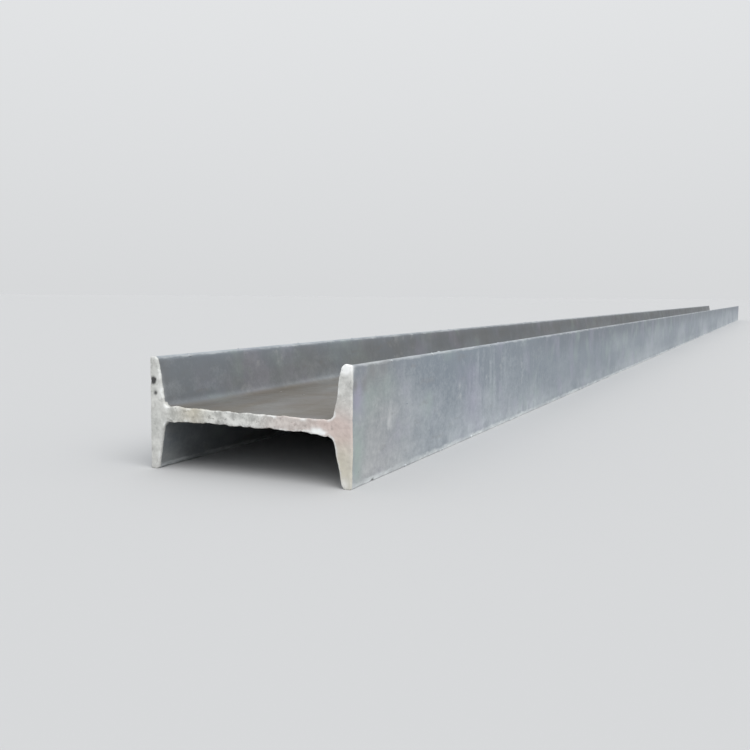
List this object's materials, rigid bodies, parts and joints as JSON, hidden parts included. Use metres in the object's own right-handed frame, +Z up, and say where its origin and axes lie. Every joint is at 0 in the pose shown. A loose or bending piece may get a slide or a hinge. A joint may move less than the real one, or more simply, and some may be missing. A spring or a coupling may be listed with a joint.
{
  "type": "steel i-beam",
  "caption": "Hot-rolled steel I-section beam with tapered flanges and a galvanized finish, one plain length of stock that carries loads in bending.",
  "frame": {"origin": "on the ground under the middle of the beam, which lies on the edges of its flanges with its web level", "axes": "+X along the length, +Y across the section's depth, from one flange to the other, +Z up, along the width of the flanges"},
  "size_m": [6, 0.2, 0.1],
  "materials": {
    "galvanized_steel": "hot-dip galvanized, dull blue-grey zinc with soft streaks across the beam"
  },
  "bodies": {
    "root": {"i_beam": "galvanized_steel"}
  },
  "joints": []
}
